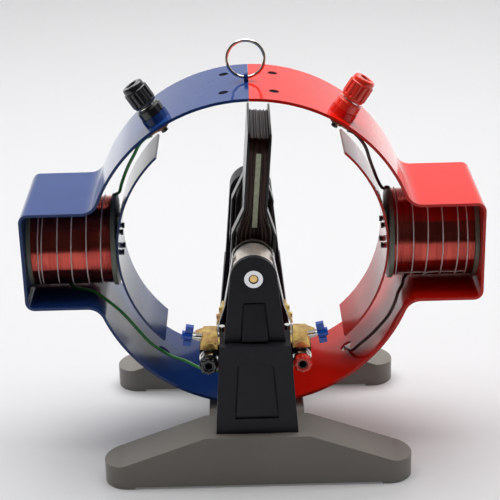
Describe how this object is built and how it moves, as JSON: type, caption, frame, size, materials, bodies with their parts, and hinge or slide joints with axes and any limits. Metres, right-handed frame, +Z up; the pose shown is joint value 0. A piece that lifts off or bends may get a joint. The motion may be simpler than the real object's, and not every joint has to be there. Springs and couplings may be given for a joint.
{
  "type": "demonstration electric motor",
  "caption": "Demonstration electric motor: two-colour ring yoke with field coils, flat armature on a front-to-back shaft, leaf brushes on a split commutator, binding posts, uprights and feet.",
  "frame": {"origin": "on the bench, below the middle of the ring: bottom centre of the bounding box", "axes": "+X to the right across the face, towards the red half; +Y from the commutator's side to the back, along the shaft; +Z up"},
  "size_m": [0.254, 0.1394, 0.2342],
  "materials": {
    "foot_grey": "satin",
    "black_plastic": "satin, fine texture",
    "blue_paint": "gloss",
    "red_paint": "gloss",
    "nickel": "polished nickel",
    "steel": "bright",
    "dark_steel": "blackened",
    "brass": "polished",
    "passivated_brass": "olive-gold passivated",
    "iron": "plain",
    "former_grey": "satin",
    "enamel_wire": "enamelled wire",
    "thread": "waxed thread",
    "black_gloss": "gloss",
    "red_gloss": "gloss",
    "knob_blue": "satin",
    "green_wire": "satin",
    "dark_red_wire": "satin",
    "plate_black": "satin",
    "strip_green": "varnished",
    "hub_brown": "laminate",
    "segment_metal": "worn, warm silver"
  },
  "bodies": {
    "frame": {"front_foot": "foot_grey", "rear_foot": "foot_grey", "spine": "foot_grey", "base_bolts": "dark_steel", "front_upright": "black_plastic", "rear_upright": "black_plastic", "front_bearing": "nickel", "rear_bearing": "nickel", "yoke_blue": "blue_paint", "yoke_red": "red_paint", "splice_plate": "steel", "seam_screws": "dark_steel", "ring_eye": "blue_paint", "left_core": "iron", "right_core": "iron", "left_bobbin": "former_grey", "right_bobbin": "former_grey", "left_field_winding": "enamel_wire", "right_field_winding": "enamel_wire", "coil_bindings": "thread", "left_pole_shoe": "blue_paint", "right_pole_shoe": "red_paint", "pole_screws": "dark_steel", "core_bolts": "nickel", "black_post_collar": "black_gloss", "red_post_collar": "red_gloss", "post_studs": "nickel", "post_nuts": "brass", "post_lugs": "brass", "terminal_studs": "nickel", "terminal_washers": "nickel", "left_brush_bracket": "passivated_brass", "right_brush_bracket": "passivated_brass", "bracket_screws": "nickel", "left_post_lead": "green_wire", "right_post_lead": "dark_red_wire", "left_coil_lead": "green_wire", "right_coil_lead": "dark_red_wire"},
    "black_post_cap": {"black_post_cap": "black_gloss"},
    "red_post_cap": {"red_post_cap": "red_gloss"},
    "black_terminal_cap": {"black_terminal_cap": "black_gloss"},
    "red_terminal_cap": {"red_terminal_cap": "red_gloss"},
    "carry_ring": {"carry_ring": "nickel"},
    "left_brush": {"left_brush_leaf": "steel", "left_leaf_clamp": "passivated_brass"},
    "right_brush": {"right_brush_leaf": "steel", "right_leaf_clamp": "passivated_brass"},
    "left_thumb_screw": {"left_thumb_knob": "knob_blue", "left_thumb_rod": "nickel"},
    "right_thumb_screw": {"right_thumb_knob": "knob_blue", "right_thumb_rod": "nickel"},
    "armature": {"shaft": "brass", "armature_core": "iron", "armature_plates": "plate_black", "armature_winding": "enamel_wire", "winding_strips": "strip_green", "commutator_hub": "hub_brown", "commutator_segments": "segment_metal", "commutator_band": "segment_metal", "shaft_collars": "brass"}
  },
  "joints": [
    {"name": "armature_spin", "type": "hinge", "parent": "frame", "child": "armature", "pos_m": [0, 0, 0.121], "axis": [0, 1, 0], "continuous": true},
    {"name": "carry_ring_swing", "type": "hinge", "parent": "frame", "child": "carry_ring", "pos_m": [-0.0012, 0, 0.21305], "axis": [1, 0, 0], "range_deg": [-88, 88]},
    {"name": "black_post_cap_unscrew", "type": "slide", "parent": "frame", "child": "black_post_cap", "axis": [-0.5432, 0, 0.8396], "range_m": [0, 0.004]},
    {"name": "red_post_cap_unscrew", "type": "slide", "parent": "frame", "child": "red_post_cap", "axis": [0.5432, 0, 0.8396], "range_m": [0, 0.004]},
    {"name": "black_terminal_cap_unscrew", "type": "slide", "parent": "frame", "child": "black_terminal_cap", "axis": [0, -1, 0], "range_m": [0, 0.003]},
    {"name": "red_terminal_cap_unscrew", "type": "slide", "parent": "frame", "child": "red_terminal_cap", "axis": [0, -1, 0], "range_m": [0, 0.003]},
    {"name": "left_thumb_turn", "type": "hinge", "parent": "frame", "child": "left_thumb_screw", "pos_m": [-0.0362, -0.045, 0.0816], "axis": [-0.9816, 0, 0.1908], "range_deg": [-180, 180]},
    {"name": "right_thumb_turn", "type": "hinge", "parent": "frame", "child": "right_thumb_screw", "pos_m": [0.0362, -0.045, 0.0816], "axis": [0.9816, 0, 0.1908], "range_deg": [-180, 180]},
    {"name": "left_brush_spring", "type": "hinge", "parent": "frame", "child": "left_brush", "pos_m": [-0.0206, -0.042, 0.0848], "axis": [0, -1, 0], "range_deg": [0, 8], "stiffness_Nm_per_rad": 0.03, "springref_deg": -3},
    {"name": "right_brush_spring", "type": "hinge", "parent": "frame", "child": "right_brush", "pos_m": [0.0206, -0.042, 0.0848], "axis": [0, 1, 0], "range_deg": [0, 8], "stiffness_Nm_per_rad": 0.03, "springref_deg": -3}
  ]
}
